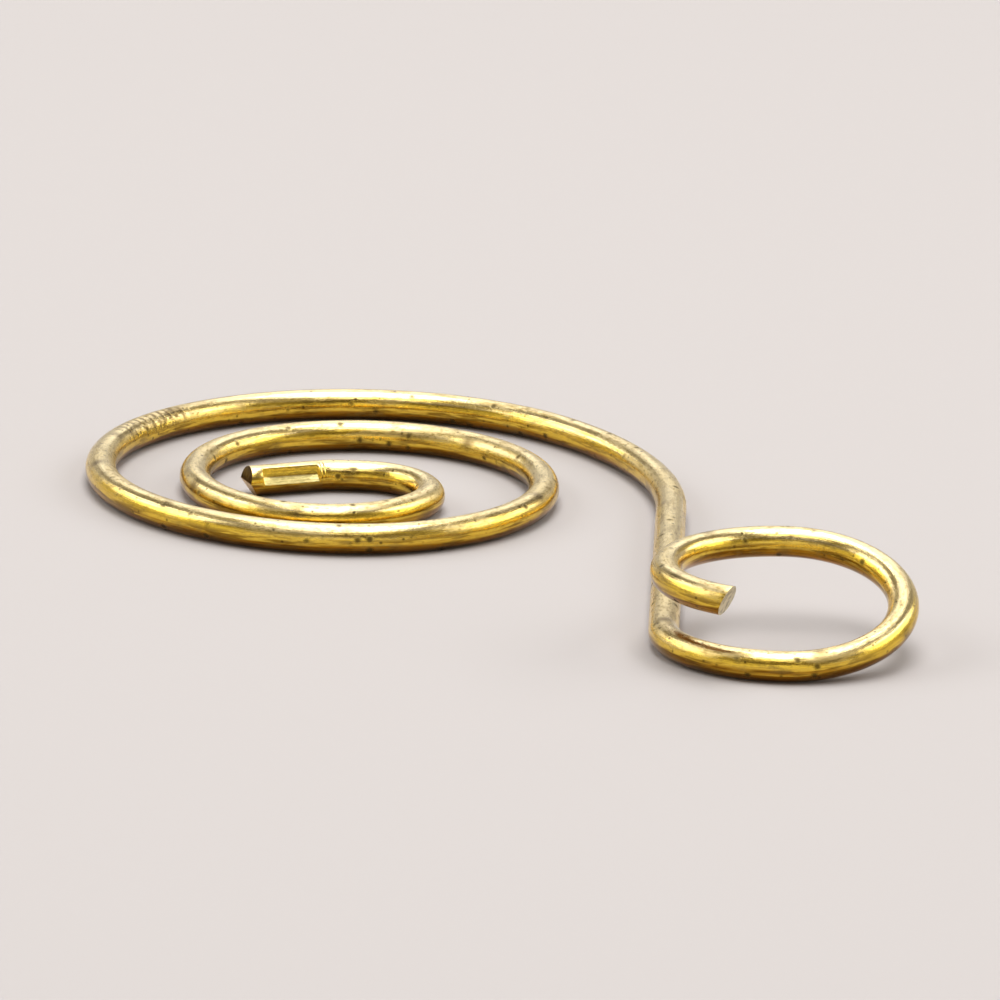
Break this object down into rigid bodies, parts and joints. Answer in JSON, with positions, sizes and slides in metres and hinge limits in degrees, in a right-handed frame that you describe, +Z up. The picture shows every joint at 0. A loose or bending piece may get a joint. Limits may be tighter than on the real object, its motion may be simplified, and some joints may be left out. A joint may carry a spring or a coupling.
{
  "type": "ornament hook",
  "caption": "Ornament hook of round gold-coloured wire: a flat open spiral with a tucked inner end, a straight stem, and a small hanging eye lapped over the stem",
  "frame": {"origin": "on the surface that the hook lies on, under the middle of the hook's outline", "axes": "+Z up, out of the flat spiral; +Y along the stem, from the eye towards the spiral; +X from the spiral towards the eye"},
  "size_m": [0.0328, 0.0372, 0.0037],
  "materials": {
    "gold_wire": "bright drawn wire with a thin gold-coloured plating, fine draw lines, small dark pits and forming marks"
  },
  "bodies": {
    "root": {"hook_wire": "gold_wire"}
  },
  "joints": []
}
